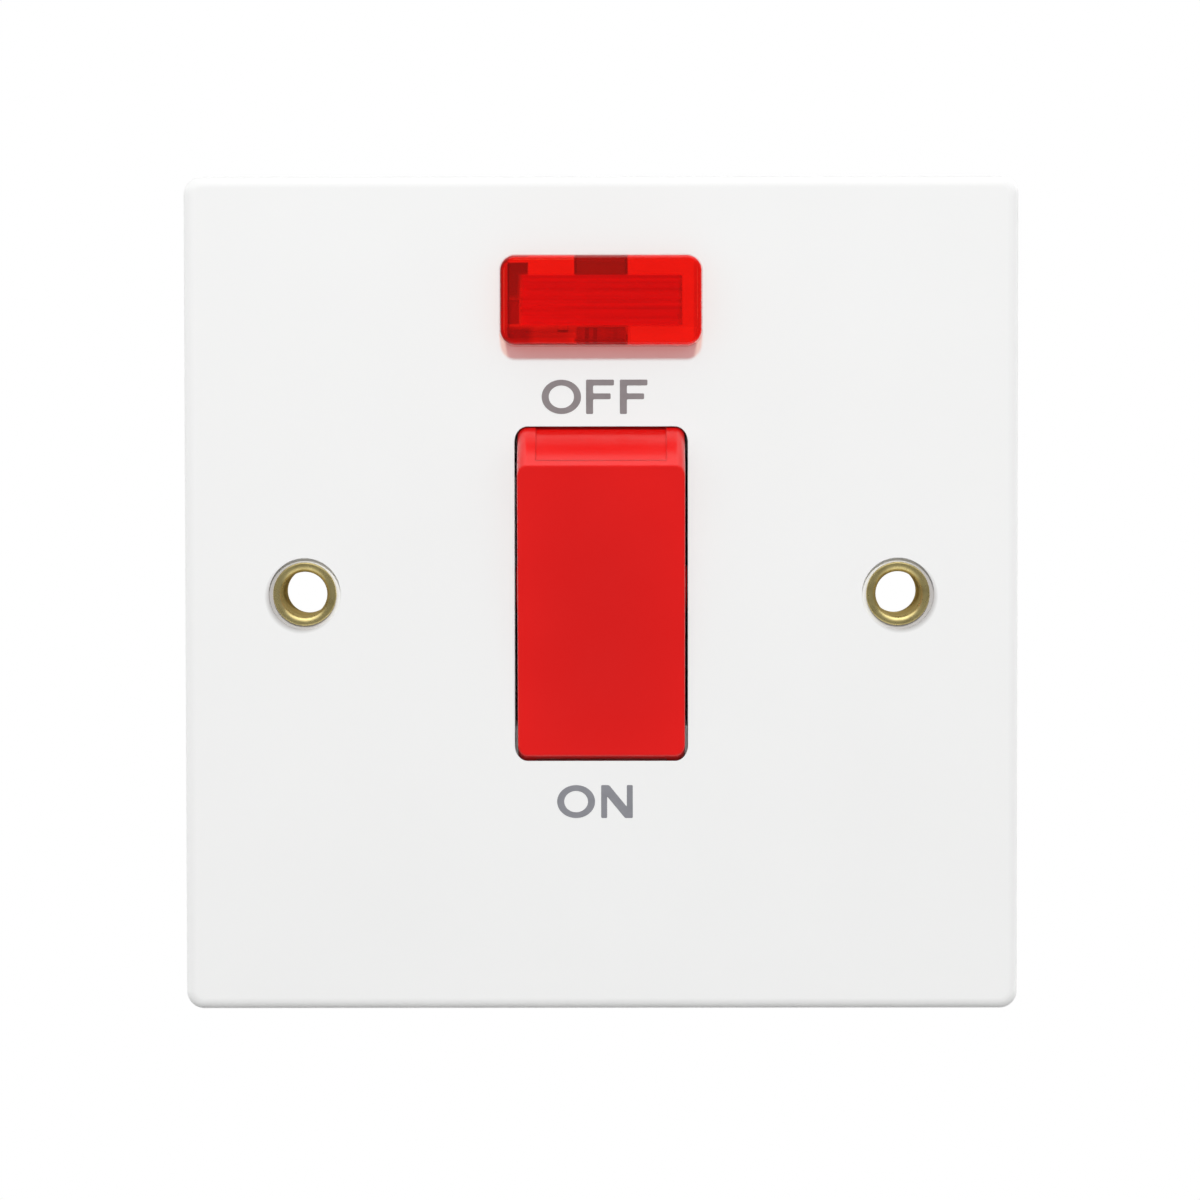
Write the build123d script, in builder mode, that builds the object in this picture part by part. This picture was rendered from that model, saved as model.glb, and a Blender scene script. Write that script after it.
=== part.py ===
from build123d import *
import os
from math import acos, cos, degrees, hypot, radians, sin

os.makedirs("parts", exist_ok=True)

# Millimetres. X runs right, Y back into the wall, Z up. The plate's rim meets the wall at Y = 0.

# Front plate
plate_side = 85.0
plate_depth = 9.0
plate_face = 2.4
plate_wall = 2.2
plate_corner_radius = 1.9
plate_edge_radius = 1.1
plate_draft = 1.0
rib_thickness = 1.4
rib_setback = 0.5
rib_overlap = 2.0

# Fixing holes and their eyelets
fixing_spacing = 60.3
fixing_bore = 4.5
eyelet_sheet = 0.35
eyelet_flare = 0.8
eyelet_recess = 0.1
eyelet_fit = 0.04
recess_diameter = 7.3
fixing_boss_wall = 2.3

# Rocker and its opening
opening_width = 17.6
opening_height = 34.0
opening_corner = 1.3
pivot_depth = 11.5
rocker_travel = 14.0
rocker_side_gap = 0.3
rocker_end_gap = 0.3
rocker_pressed_proud = 0.3
rocker_dish = 0.4
rocker_face_wall = 1.8
rocker_end_wall = 1.6
rocker_cheek = 1.8
rocker_rim_radius = 1.0
rocker_face_edge = 0.25
rocker_skirt_angle = 71.0
end_panel_depth = 0.25
end_panel_margin = 1.9
end_panel_lip_angle = 2.2
trunnion_radius = 2.5
trunnion_length = 2.4
trunnion_fit = 0.06
trunnion_end_gap = 0.2
hub_wall = 1.5
saddle_depth = 2.0

# Plungers and their springs
pole_offset = 4.2
plunger_radius = 1.9
plunger_fit = 0.05
plunger_reach = 10.0
plunger_tip_radius = 1.5
plunger_nose = 3.0
plunger_gap = 0.15
plunger_spigot_radius = 0.9
plunger_spigot = 1.5
stem_wall = 0.9
stem_end = 4.5
spring_length = 9.4
spring_wire = 0.5
spring_radius = 1.4
spring_turns = 6
spring_facets = 8
spring_seat_gap = 0.02
web_thickness = 1.4

# Contact arms and contacts
arm_swing_angle = 16.0
arm_thickness = 1.2
arm_width = 5.0
arm_long_end = 13.6
arm_short_end = 9.0
arm_notch = 0.9
contact_offset = 11.3
contact_diameter = 4.2
contact_height = 1.0
contact_gap = 0.05
fulcrum_half = 1.2
fulcrum_rise = 2.4
fulcrum_play = 0.15

# Terminals
tail_thickness = 1.2
terminal_width = 9.6
terminal_length = 10.0
terminal_depth = 10.5
terminal_play = 0.1
conductor_bore = 6.0
clamp_thread = 3.3
clamp_travel = 3.5
clamp_diameter = 4.9
clamp_head_diameter = 7.2
clamp_head_height = 2.2
clamp_stand = 0.2
screw_fit = 0.05
slot_width = 1.1
slot_depth = 1.1
earth_width = 7.0
earth_length = 7.0
earth_depth = 9.0
earth_bore = 4.4
earth_diameter = 3.9
earth_head_diameter = 6.0

# Base and retaining frame
frame_thickness = 2.0
base_wall = 1.7
base_floor = 1.9
base_corner = 2.0
base_edge = 0.8
chamber_gap = 0.35
partition = 1.15
barrier_thickness = 1.6
barrier_gap = 0.8
well_height = 4.4
well_gap = 0.6
entry_gap = 1.0
ear_thickness = 2.5
ear_radius = 3.6
ear_offset = 3.1
ear_height = 15.0
boss_radius = 3.4
base_screw_core = 2.4
base_screw_fit = 0.02
base_screw_bite = 4.0
base_screw_clearance = 0.4
base_screw_head_diameter = 5.4
base_screw_head_height = 2.0
base_screw_head_edge = 0.7
base_screw_cross_width = 0.7
base_screw_cross_length = 3.2
terminal_pad = 3.0

# Indicator lens, lamp and leads
lens_height = 29.8
lens_width = 20.7
lens_depth = 9.4
lens_proud = 2.8
lens_corner = 1.7
lens_draft = 4.0
lens_edge = 0.4
lens_window = 1.2
lens_pocket_width = 16.4
lens_pocket_depth = 5.0
lens_ribs = 8
lens_rib_height = 0.12
lens_seat_border = 0.6
lens_seat_relief = 0.06
lens_land = 0.9
lens_side_cut = 2.05
lens_leg_width = 5.1
lens_leg_thickness = 1.7
lens_leg_fit = 0.15
lens_hook = 0.5
lens_hook_height = 1.4
lens_hook_gap = 0.1
tray_wall = 1.0
tray_gap = 0.2
tray_length = 24.4
tray_margin = 2.0
peg_radius = 1.2
peg_fit = 0.05
peg_proud = 0.4
tray_ear = 1.2
lamp_radius = 2.2
lamp_glass = 0.5
lamp_length = 11.8
lamp_gap = 0.1
electrode_radius = 0.35
electrode_spacing = 1.6
electrode_out = 0.8
lamp_seal = 1.2
cradle_half = 3.0
resistor_radius = 0.95
resistor_length = 5.2
link_radius = 0.3
lead_radius = 0.55
lead_gap = 0.15
lead_bend = 1.2
lead_exit = 9.2
lead_setback = 2.3

# Levels along Y
front_y = -plate_depth
inner_y = front_y + plate_face
pivot_y = front_y + pivot_depth
base_front_y = pivot_y - saddle_depth
frame_front_y = base_front_y - frame_thickness
arm_pivot_y = pivot_y + plunger_reach + plunger_gap + arm_thickness
tail_front_y = arm_pivot_y + 2 * contact_height + contact_gap
floor_y = tail_front_y + tail_thickness
base_back_y = floor_y + base_floor
well_back_y = floor_y + well_height
ear_back_y = base_front_y + ear_thickness
bore_y = floor_y - clamp_thread - conductor_bore / 2
tray_back_y = frame_front_y - tray_gap
tray_floor_y = tray_back_y - tray_wall
lamp_y = tray_floor_y - lamp_gap - lamp_radius
lead_y = frame_front_y - lead_setback

# Rocker shape
tilt = rocker_travel / 2
rocker_width = opening_width - 2 * rocker_side_gap
opening_rim = hypot(opening_height / 2, pivot_depth)
rim = opening_rim - rocker_end_gap
face_angle = degrees(acos((pivot_depth + rocker_pressed_proud) / rim)) - tilt
face_rise = rim * cos(radians(face_angle))
face_half = rim * sin(radians(face_angle))
skirt_rise = rim * cos(radians(rocker_skirt_angle))
skirt_foot = rim * sin(radians(rocker_skirt_angle)) - 2 * rocker_end_wall
ceiling = face_rise - rocker_dish - rocker_face_wall
hub_radius = trunnion_radius + hub_wall
stem_radius = plunger_radius + plunger_fit + stem_wall
panel_half = rocker_width / 2 - end_panel_margin
panel_rise = rim * cos(radians(face_angle + end_panel_lip_angle))

# Base plan
chamber_half_width = rocker_width / 2 + chamber_gap
chamber_half_height = arm_long_end + terminal_play + chamber_gap
terminal_x = chamber_half_width + partition + terminal_play + terminal_width / 2
terminal_z = chamber_half_height - partition + terminal_play + terminal_length / 2
base_half_width = terminal_x + terminal_width / 2 + terminal_play + base_wall
base_half_height = terminal_z + terminal_length / 2 + terminal_play + 0.7 * base_wall
earth_z = -(terminal_z + terminal_length / 2 - earth_length / 2)
earth_bore_y = floor_y - clamp_thread - earth_bore / 2
ear_x = base_half_width + ear_offset
pad_z = terminal_z + terminal_length / 2 - terminal_pad
lead_hole_z = terminal_z - terminal_length / 4
tray_half_height = lens_depth / 2 + tray_margin - 0.7
lamp_z = lens_height
resistor_z = lamp_z - lamp_radius - resistor_radius - 0.55
resistor_y = tray_floor_y - resistor_radius - 0.2
terminal_signs = [(-1, 1), (1, 1), (-1, -1), (1, -1)]
ear_places = [(sx * ear_x, sz * ear_height) for sx in (-1, 1) for sz in (-1, 1)]
fixing_places = [(-fixing_spacing / 2, 0), (fixing_spacing / 2, 0)]
ear_reach = ear_x - base_half_width + base_wall

# Directions of the rocker and of the contact arms with the switch on
tilt_sin = sin(radians(tilt))
tilt_cos = cos(radians(tilt))
rocker_up = (0, -tilt_sin, tilt_cos)
rocker_back = (0, tilt_cos, tilt_sin)
pivot = (0, pivot_y, 0)
rocker_side = Plane(origin=pivot, x_dir=rocker_up, z_dir=(1, 0, 0))
stem_plane = Plane(origin=pivot, x_dir=(1, 0, 0), z_dir=rocker_back)
arm_bend = arm_swing_angle / 2
bend_sin = sin(radians(arm_bend))
bend_cos = cos(radians(arm_bend))


def facing(y):
    return Plane.XZ.offset(-y)


def flare_point(radius, centre, y):
    return (centre - radius * cos(radians(45)), y - radius * sin(radians(45)))


# Front plate
eyelet_inner = fixing_bore / 2
eyelet_outer = eyelet_inner + eyelet_sheet
flare_centre = eyelet_inner + eyelet_flare
flare_y = front_y + eyelet_recess + eyelet_flare
seat_radius = eyelet_flare - eyelet_sheet - eyelet_fit
hole_radius = flare_centre - seat_radius

with BuildPart() as opening_cutter:
    with BuildSketch(Plane.YZ):
        with Locations((pivot_y, 0)):
            Circle(opening_rim)
    extrude(amount=opening_width / 2, both=True)
    fillet(opening_cutter.edges().filter_by(GeomType.CIRCLE), radius=opening_corner)

with BuildPart() as front_plate:
    with BuildSketch(facing(0)):
        RectangleRounded(plate_side, plate_side, plate_corner_radius)
    extrude(amount=plate_depth, taper=plate_draft)
    fillet(front_plate.faces().sort_by(Axis.Y)[0].edges(), radius=plate_edge_radius)
    cavity_side = plate_side - 2 * plate_wall
    with BuildSketch(facing(0)):
        RectangleRounded(cavity_side, cavity_side, plate_corner_radius / 2)
    extrude(amount=plate_depth - plate_face, taper=plate_draft, mode=Mode.SUBTRACT)
    # Bosses for the fixing screws, tied to the side walls by ribs
    fixing_boss_radius = hole_radius + fixing_boss_wall
    rib_start = fixing_spacing / 2 + fixing_boss_radius - 0.5
    rib_end = cavity_side / 2 + 0.5
    with BuildSketch(facing(0)):
        with Locations(*fixing_places):
            Circle(fixing_boss_radius)
    extrude(amount=-inner_y)
    with BuildSketch(facing(-rib_setback)):
        with Locations(((rib_start + rib_end) / 2, 0), (-(rib_start + rib_end) / 2, 0)):
            Rectangle(rib_end - rib_start, rib_thickness)
    extrude(amount=-rib_setback - inner_y)
    # Bosses for the base screws and guide ribs beside the rocker
    with BuildSketch(facing(frame_front_y)):
        with Locations(*ear_places):
            Circle(boss_radius)
    extrude(amount=frame_front_y - inner_y)
    rib_x = opening_width / 2 + rib_thickness
    with BuildSketch(facing(frame_front_y - rib_setback)):
        with Locations((rib_x, 0), (-rib_x, 0)):
            Rectangle(rib_thickness, opening_height + 2 * rib_overlap)
    extrude(amount=frame_front_y - rib_setback - inner_y)
    # Pegs for the lamp tray
    peg_x = tray_length / 2 + 2 * peg_radius
    with BuildSketch(facing(inner_y + tray_ear + peg_proud)):
        with Locations((peg_x, lens_height), (-peg_x, lens_height)):
            Circle(peg_radius)
    extrude(amount=tray_ear + peg_proud)
    # Openings, the one below the lens wider at its live end
    add(opening_cutter.part, mode=Mode.SUBTRACT)
    leg_slot = lens_leg_width + 2 * lens_leg_fit
    leg_span = lens_pocket_depth + 2 * (lens_leg_thickness + lens_leg_fit)
    cut_reach = lens_width / 2 - lens_land
    cut_drop = lens_depth / 2 - lens_land
    strip_height = cut_drop - lens_pocket_depth / 2
    with BuildSketch(facing(front_y)):
        with Locations((0, lens_height)):
            Rectangle(lens_pocket_width, lens_pocket_depth)
            Rectangle(leg_slot, leg_span)
        with Locations((lens_side_cut / 2 - cut_reach, lens_height)):
            Rectangle(lens_side_cut, 2 * cut_drop)
        with Locations((-cut_reach / 2, lens_height - cut_drop + strip_height / 2)):
            Rectangle(cut_reach, strip_height)
    extrude(amount=-plate_face, mode=Mode.SUBTRACT)
    with BuildSketch(facing(frame_front_y)):
        with Locations(*ear_places):
            Circle(base_screw_core / 2)
    extrude(amount=base_screw_bite + 0.3, mode=Mode.SUBTRACT)
    for x, z in fixing_places:
        with BuildSketch(Plane.XY.offset(z)):
            with BuildLine():
                Polyline(
                    (x + flare_centre, flare_y - seat_radius),
                    (x + recess_diameter / 2, flare_y - seat_radius),
                    (x + recess_diameter / 2, front_y - 1),
                    (x, front_y - 1),
                    (x, 1),
                    (x + hole_radius, 1),
                    (x + hole_radius, flare_y),
                )
                seat_middle = flare_point(seat_radius, x + flare_centre, flare_y)
                ThreePointArc(
                    (x + hole_radius, flare_y),
                    seat_middle,
                    (x + flare_centre, flare_y - seat_radius),
                )
            make_face()
        revolve(axis=Axis((x, 0, z), (0, 1, 0)), mode=Mode.SUBTRACT)
front_plate.part.label = "front_plate"
export_step(front_plate.part, "parts/front_plate.step")

# Brass eyelets in the fixing holes
for name, (x, z) in zip(("left", "right"), fixing_places):
    with BuildPart() as fixing_eyelet:
        with BuildSketch(Plane.XY.offset(z)):
            with BuildLine():
                lip_x = x + flare_centre
                outer_flare = eyelet_flare - eyelet_sheet
                Polyline(
                    (x + eyelet_outer, flare_y),
                    (x + eyelet_outer, 0),
                    (x + eyelet_inner, 0),
                    (x + eyelet_inner, flare_y),
                )
                ThreePointArc(
                    (x + eyelet_inner, flare_y),
                    flare_point(eyelet_flare, lip_x, flare_y),
                    (lip_x, flare_y - eyelet_flare),
                )
                ThreePointArc(
                    (lip_x, flare_y - eyelet_flare),
                    (lip_x + eyelet_sheet / 2, flare_y - eyelet_flare + eyelet_sheet / 2),
                    (lip_x, flare_y - outer_flare),
                )
                ThreePointArc(
                    (lip_x, flare_y - outer_flare),
                    flare_point(outer_flare, lip_x, flare_y),
                    (x + eyelet_outer, flare_y),
                )
            make_face()
        revolve(axis=Axis((x, 0, z), (0, 1, 0)))
    fixing_eyelet.part.label = "fixing_eyelet_" + name
    export_step(fixing_eyelet.part, "parts/fixing_eyelet_" + name + ".step")

# Rocker, drawn square to its own pivot plane with its ends concentric to the pivot
with BuildPart() as rocker:
    with BuildSketch(rocker_side):
        Circle(rim)
    extrude(amount=rocker_width / 2, both=True)
    fillet(rocker.edges().filter_by(GeomType.CIRCLE), radius=rocker_rim_radius)
    with BuildSketch(rocker_side):
        with BuildLine():
            outside = rim + 2
            ThreePointArc((face_half, face_rise), (0, face_rise - rocker_dish), (-face_half, face_rise))
            Polyline(
                (-face_half, face_rise),
                (-outside, face_rise),
                (-outside, skirt_rise),
                (-skirt_foot, skirt_rise),
                (-hub_radius, 0),
            )
            ThreePointArc((-hub_radius, 0), (0, -hub_radius), (hub_radius, 0))
            Polyline(
                (hub_radius, 0),
                (skirt_foot, skirt_rise),
                (outside, skirt_rise),
                (outside, face_rise),
                (face_half, face_rise),
            )
        make_face()
    extrude(amount=rocker_width, both=True, mode=Mode.INTERSECT)
    fillet(rocker.faces().sort_by(Axis(pivot, rocker_back))[0].edges(), radius=rocker_face_edge)
    # Hollow from behind
    with BuildSketch(rocker_side):
        Circle(rim - rocker_end_wall)
        with Locations((0, ceiling + rim)):
            Rectangle(3 * rim, 2 * rim, mode=Mode.SUBTRACT)
    extrude(amount=rocker_width / 2 - rocker_cheek, both=True, mode=Mode.SUBTRACT)
    # Shallow panel in each curved end
    with BuildSketch(rocker_side):
        Circle(rim + 1)
        Circle(rim - end_panel_depth, mode=Mode.SUBTRACT)
        with Locations((0, panel_rise + rim)):
            Rectangle(3 * rim, 2 * rim, mode=Mode.SUBTRACT)
    extrude(amount=panel_half, both=True, mode=Mode.SUBTRACT)
    # Plunger stems joined by a web
    with BuildSketch(stem_plane.offset(stem_end)):
        with Locations((pole_offset, 0), (-pole_offset, 0)):
            Circle(stem_radius)
    extrude(amount=-(stem_end + ceiling + rocker_face_wall / 2))
    with BuildSketch(stem_plane.offset(stem_end / 2)):
        Rectangle(2 * pole_offset, web_thickness)
    extrude(amount=-(stem_end / 2 + ceiling + rocker_face_wall / 2))
    with BuildSketch(stem_plane.offset(stem_end)):
        with Locations((pole_offset, 0), (-pole_offset, 0)):
            Circle(plunger_radius + plunger_fit)
    extrude(amount=-(stem_end + spring_length), mode=Mode.SUBTRACT)
    for side in (-1, 1):
        with BuildSketch(rocker_side.offset(side * rocker_width / 2)):
            Circle(trunnion_radius)
        extrude(amount=side * trunnion_length)
rocker.part.label = "rocker"
export_step(rocker.part, "parts/rocker.step")

# Plungers and springs in the rocker's stems
for name, side in (("live", -1), ("neutral", 1)):
    stem_origin = (side * pole_offset, pivot_y, 0)
    with BuildPart() as plunger:
        with BuildSketch(Plane(origin=stem_origin, x_dir=(1, 0, 0), z_dir=rocker_up)):
            with BuildLine():
                tip_centre = plunger_reach - plunger_tip_radius
                tip_middle = plunger_tip_radius * cos(radians(45))
                Polyline(
                    (0, plunger_reach),
                    (0, -plunger_spigot),
                    (plunger_spigot_radius, -plunger_spigot),
                    (plunger_spigot_radius, 0),
                    (plunger_radius, 0),
                    (plunger_radius, plunger_reach - plunger_nose),
                    (plunger_tip_radius, tip_centre),
                )
                ThreePointArc(
                    (plunger_tip_radius, tip_centre),
                    (tip_middle, tip_centre + tip_middle),
                    (0, plunger_reach),
                )
            make_face()
        revolve(axis=Axis(stem_origin, rocker_back))
    plunger.part.label = "plunger_" + name
    export_step(plunger.part, "parts/plunger_" + name + ".step")

    with BuildPart() as plunger_spring:
        coil_height = spring_length - spring_wire - 2 * spring_seat_gap
        coil_start = -spring_length + spring_wire / 2 + spring_seat_gap
        coil_origin = (side * pole_offset, pivot_y + coil_start * tilt_cos, coil_start * tilt_sin)
        with BuildLine() as coil:
            Helix(coil_height / spring_turns, coil_height, spring_radius, coil_origin, rocker_back)
        with BuildSketch(Plane(origin=coil.line @ 0, z_dir=coil.line % 0)):
            RegularPolygon(spring_wire / 2, spring_facets)
        sweep(is_frenet=True)
    plunger_spring.part.label = "plunger_spring_" + name
    export_step(plunger_spring.part, "parts/plunger_spring_" + name + ".step")

# Contact arms, bent so that the long end lies flat on its contact when the switch is on
for name, side in (("live", -1), ("neutral", 1)):
    arm_origin = (side * pole_offset, arm_pivot_y, 0)
    arm_side = Plane(origin=arm_origin, x_dir=(0, bend_sin, bend_cos), z_dir=(1, 0, 0))
    with BuildPart() as contact_arm:
        with BuildSketch(arm_side):
            long_point = (arm_long_end * bend_cos, arm_long_end * bend_sin)
            short_point = (-arm_short_end * bend_cos, arm_short_end * bend_sin)
            step_u = arm_thickness * bend_sin
            step_v = arm_thickness * bend_cos
            with BuildLine():
                Polyline(
                    short_point,
                    (0, 0),
                    long_point,
                    (long_point[0] - step_u, long_point[1] + step_v),
                    (0, arm_thickness / bend_cos),
                    (short_point[0] + step_u, short_point[1] + step_v),
                    close=True,
                )
            make_face()
        extrude(amount=arm_width / 2, both=True)
        notch_height = 2 * (fulcrum_half + fulcrum_play + arm_thickness * bend_sin)
        with BuildSketch(arm_side):
            Rectangle(notch_height, 4 * arm_thickness)
        extrude(amount=arm_width, both=True, mode=Mode.SUBTRACT)
        with BuildSketch(arm_side):
            with BuildLine():
                half_notch = notch_height / 2
                rise = half_notch * bend_sin / bend_cos
                Polyline(
                    (-half_notch, rise),
                    (0, 0),
                    (half_notch, rise),
                    (half_notch, rise + arm_thickness / bend_cos),
                    (0, arm_thickness / bend_cos),
                    (-half_notch, rise + arm_thickness / bend_cos),
                    close=True,
                )
            make_face()
        extrude(amount=arm_width / 2 - arm_notch, both=True)
    contact_arm.part.label = "contact_arm_" + name
    export_step(contact_arm.part, "parts/contact_arm_" + name + ".step")

    with BuildPart() as moving_contact:
        with BuildSketch(facing(arm_pivot_y + contact_height)):
            with Locations((side * pole_offset, contact_offset)):
                Circle(contact_diameter / 2)
        extrude(amount=contact_height)
        chamfer(moving_contact.faces().sort_by(Axis.Y)[-1].edges(), length=0.3)
    moving_contact.part.label = "moving_contact_" + name
    export_step(moving_contact.part, "parts/moving_contact_" + name + ".step")

    with BuildPart() as fixed_contact:
        with BuildSketch(facing(tail_front_y)):
            with Locations((side * pole_offset, contact_offset)):
                Circle(contact_diameter / 2)
        extrude(amount=contact_height)
        chamfer(fixed_contact.faces().sort_by(Axis.Y)[0].edges(), length=0.3)
    fixed_contact.part.label = "fixed_contact_" + name
    export_step(fixed_contact.part, "parts/fixed_contact_" + name + ".step")

# Terminals: a bored block with a tail that carries the fixed contact or the arm's fulcrum
for name, side in (("live", -1), ("neutral", 1)):
    for role, up in (("load", 1), ("supply", -1)):
        block_x = side * terminal_x
        block_z = up * terminal_z
        pole_x = side * pole_offset
        tail_top_z = up * (chamber_half_height - terminal_play)
        tail_low_z = up * (contact_offset - contact_diameter / 2 - 0.3)
        inner_x = side * (pole_offset - arm_width / 2)
        with BuildPart() as terminal:
            with BuildSketch(facing(floor_y)):
                with Locations((block_x, block_z)):
                    RectangleRounded(terminal_width, terminal_length, 0.6)
            extrude(amount=terminal_depth)
            with BuildSketch(facing(floor_y)):
                with Locations(((inner_x + block_x) / 2, (tail_top_z + tail_low_z) / 2)):
                    Rectangle(abs(block_x - inner_x), abs(tail_top_z - tail_low_z))
                if role == "supply":
                    with Locations((pole_x, (tail_low_z + fulcrum_half) / 2)):
                        Rectangle(arm_width, abs(tail_low_z - fulcrum_half))
            extrude(amount=tail_thickness)
            if role == "supply":
                with BuildSketch(facing(tail_front_y)):
                    with Locations((pole_x, 0)):
                        Rectangle(arm_width, 2 * fulcrum_half)
                extrude(amount=tail_front_y - arm_pivot_y - contact_gap)
                lug = arm_notch - fulcrum_play
                lug_x = arm_width / 2 - lug / 2
                with BuildSketch(facing(arm_pivot_y + contact_gap)):
                    with Locations((pole_x - lug_x, 0), (pole_x + lug_x, 0)):
                        Rectangle(lug, 2 * fulcrum_half)
                extrude(amount=fulcrum_rise + contact_gap)
            with BuildSketch(Plane.XY.offset(block_z)):
                with Locations((block_x, bore_y)):
                    Circle(conductor_bore / 2)
            extrude(amount=terminal_length, both=True, mode=Mode.SUBTRACT)
            with BuildSketch(facing(floor_y)):
                with Locations((block_x, block_z)):
                    Circle(clamp_diameter / 2 + screw_fit)
            extrude(amount=clamp_thread + conductor_bore / 2, mode=Mode.SUBTRACT)
        terminal.part.label = role + "_terminal_" + name
        export_step(terminal.part, "parts/" + role + "_terminal_" + name + ".step")

        # Clamp screw, backed out to leave the bore free
        with BuildPart() as clamp_screw:
            head_y = floor_y + clamp_stand + clamp_travel
            shank = clamp_thread + clamp_stand + clamp_travel - 0.1
            with BuildSketch(facing(head_y + clamp_head_height)):
                with Locations((block_x, block_z)):
                    Circle(clamp_head_diameter / 2)
            extrude(amount=clamp_head_height)
            chamfer(clamp_screw.faces().sort_by(Axis.Y)[-1].edges(), length=0.4)
            with BuildSketch(facing(head_y)):
                with Locations((block_x, block_z)):
                    Circle(clamp_diameter / 2)
            extrude(amount=shank)
            chamfer(clamp_screw.faces().sort_by(Axis.Y)[0].edges(), length=0.5)
            with BuildSketch(facing(head_y + clamp_head_height)):
                with Locations((block_x, block_z)):
                    Rectangle(2 * clamp_head_diameter, slot_width)
            extrude(amount=slot_depth, mode=Mode.SUBTRACT)
        clamp_screw.part.label = role + "_screw_" + name
        export_step(clamp_screw.part, "parts/" + role + "_screw_" + name + ".step")

# Earth terminal and its screw
with BuildPart() as earth_terminal:
    with BuildSketch(facing(floor_y)):
        with Locations((0, earth_z)):
            RectangleRounded(earth_width, earth_length, 0.6)
    extrude(amount=earth_depth)
    with BuildSketch(Plane.XY.offset(earth_z)):
        with Locations((0, earth_bore_y)):
            Circle(earth_bore / 2)
    extrude(amount=earth_length, both=True, mode=Mode.SUBTRACT)
    with BuildSketch(facing(floor_y)):
        with Locations((0, earth_z)):
            Circle(earth_diameter / 2 + screw_fit)
    extrude(amount=clamp_thread + earth_bore / 2, mode=Mode.SUBTRACT)
earth_terminal.part.label = "earth_terminal"
export_step(earth_terminal.part, "parts/earth_terminal.step")

with BuildPart() as earth_screw:
    head_y = floor_y + clamp_stand + clamp_travel
    with BuildSketch(facing(head_y + clamp_head_height)):
        with Locations((0, earth_z)):
            Circle(earth_head_diameter / 2)
    extrude(amount=clamp_head_height)
    chamfer(earth_screw.faces().sort_by(Axis.Y)[-1].edges(), length=0.4)
    with BuildSketch(facing(head_y)):
        with Locations((0, earth_z)):
            Circle(earth_diameter / 2)
    extrude(amount=clamp_thread + clamp_stand + clamp_travel - 0.1)
    chamfer(earth_screw.faces().sort_by(Axis.Y)[0].edges(), length=0.4)
    with BuildSketch(facing(head_y + clamp_head_height)):
        with Locations((0, earth_z)):
            Rectangle(2 * earth_head_diameter, slot_width)
    extrude(amount=slot_depth, mode=Mode.SUBTRACT)
earth_screw.part.label = "earth_screw"
export_step(earth_screw.part, "parts/earth_screw.step")

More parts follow.
